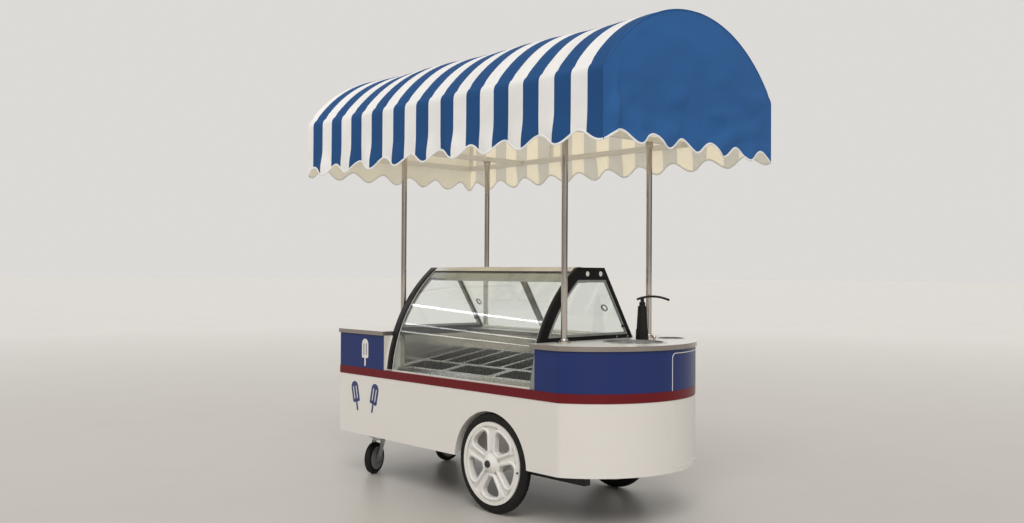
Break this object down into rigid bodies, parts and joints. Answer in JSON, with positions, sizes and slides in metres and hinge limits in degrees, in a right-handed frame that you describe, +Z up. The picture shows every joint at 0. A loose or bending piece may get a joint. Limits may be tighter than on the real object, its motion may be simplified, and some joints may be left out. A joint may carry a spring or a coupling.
{
  "type": "ice cream cart",
  "caption": "Push cart for scooped ice cream: curved glass display over a cold well, side counters with sink, spoked wheels and casters, and a striped barrel canopy on posts",
  "frame": {"origin": "on the floor under the middle of the overall box", "axes": "+Z up, +X to the bowed end with the sink, -Y to the customer side with the glass"},
  "size_m": [2.43, 1.324, 2.498],
  "materials": {
    "body_white": "white gloss laminate",
    "stripe_red": "dark red gloss",
    "cabinet_blue": "dark blue gloss laminate",
    "counter_steel": "brushed stainless sheet",
    "pan_steel": "satin stainless",
    "black_plate": "black satin paint",
    "clear_glass": "clear",
    "well_white": "white liner",
    "lamp_lens": "opal diffuser",
    "frame_black": "black paint",
    "tyre_black": "black rubber",
    "rim_white": "white enamel",
    "cap_black": "black gloss",
    "zinc": "zinc plated",
    "caster_grey": "grey nylon",
    "canopy_cloth": "coated awning cloth",
    "post_chrome": "polished tube",
    "canopy_bar": "pale aluminium",
    "stile_grey": "dark anodised",
    "faucet_black": "black",
    "unit_grey": "grey paint"
  },
  "bodies": {
    "cart": {"front_panel": "body_white", "rear_panel": "body_white", "left_panel": "body_white", "bow_panel": "body_white", "stripe_band": "stripe_red", "left_cabinet": "cabinet_blue", "right_cabinet": "cabinet_blue", "rear_apron": "cabinet_blue", "left_counter": "counter_steel", "right_counter": "counter_steel", "rear_counter": "counter_steel", "sink_bowl": "pan_steel", "waste_ring": "pan_steel", "faucet_body": "faucet_black", "faucet_spout": "faucet_black", "display_end_left": "black_plate", "display_end_right": "black_plate", "side_glass": "clear_glass", "front_glass": "clear_glass", "display_top": "counter_steel", "lamp": "lamp_lens", "rear_frame": "canopy_bar", "cold_well": "well_white", "pan_rack": "pan_steel", "front_pans": "pan_steel", "rear_pans": "pan_steel", "underframe": "frame_black", "floor_pan": "frame_black", "wheel_housings": "body_white", "cooling_unit": "unit_grey", "axle_stubs": "zinc", "caster_plates": "zinc", "door_hinges": "zinc", "post_left_front": "post_chrome", "post_left_rear": "post_chrome", "post_right_front": "post_chrome", "post_right_rear": "post_chrome", "canopy_frame": "canopy_bar", "canopy_bows": "canopy_bar", "canopy_cover": "canopy_cloth"},
    "wheel_front": {"tyre_front": "tyre_black", "rim_front": "rim_white", "hub_cap_front": "cap_black"},
    "wheel_rear": {"tyre_rear": "tyre_black", "rim_rear": "rim_white", "hub_cap_rear": "cap_black"},
    "caster_front": {"caster_fork_front": "zinc"},
    "caster_wheel_front": {"caster_tyre_front": "tyre_black", "caster_hub_front": "caster_grey"},
    "caster_rear": {"caster_fork_rear": "zinc"},
    "caster_wheel_rear": {"caster_tyre_rear": "tyre_black", "caster_hub_rear": "caster_grey"},
    "end_door": {"end_door": "body_white"},
    "sliding_left": {"sliding_door_left": "clear_glass", "door_stile_left": "stile_grey"},
    "sliding_right": {"sliding_door_right": "clear_glass", "door_stile_right": "stile_grey"}
  },
  "joints": [
    {"name": "wheel_front_spin", "type": "hinge", "parent": "cart", "child": "wheel_front", "pos_m": [0.307, -0.467, 0.257], "axis": [0, 1, 0], "continuous": true},
    {"name": "wheel_rear_spin", "type": "hinge", "parent": "cart", "child": "wheel_rear", "pos_m": [0.307, 0.467, 0.257], "axis": [0, 1, 0], "continuous": true},
    {"name": "caster_front_swivel", "type": "hinge", "parent": "cart", "child": "caster_front", "pos_m": [-0.943, -0.303, 0.205], "axis": [0, 0, 1], "continuous": true},
    {"name": "caster_front_roll", "type": "hinge", "parent": "caster_front", "child": "caster_wheel_front", "pos_m": [-0.9168, -0.35919, 0.095], "axis": [-0.9063, -0.4226, 0], "continuous": true},
    {"name": "caster_rear_swivel", "type": "hinge", "parent": "cart", "child": "caster_rear", "pos_m": [-0.943, 0.303, 0.205], "axis": [0, 0, 1], "continuous": true},
    {"name": "caster_rear_roll", "type": "hinge", "parent": "caster_rear", "child": "caster_wheel_rear", "pos_m": [-0.943, 0.241, 0.095], "axis": [-1, 0, 0], "continuous": true},
    {"name": "end_door_hinge", "type": "hinge", "parent": "cart", "child": "end_door", "pos_m": [0.84214, 0.47744, 0.565], "axis": [0, 0, 1], "range_deg": [0, 100]},
    {"name": "sliding_left_slide", "type": "slide", "parent": "cart", "child": "sliding_left", "axis": [1, 0, 0], "range_m": [0, 0.5]},
    {"name": "sliding_right_slide", "type": "slide", "parent": "cart", "child": "sliding_right", "axis": [-1, 0, 0], "range_m": [0, 0.5]}
  ]
}
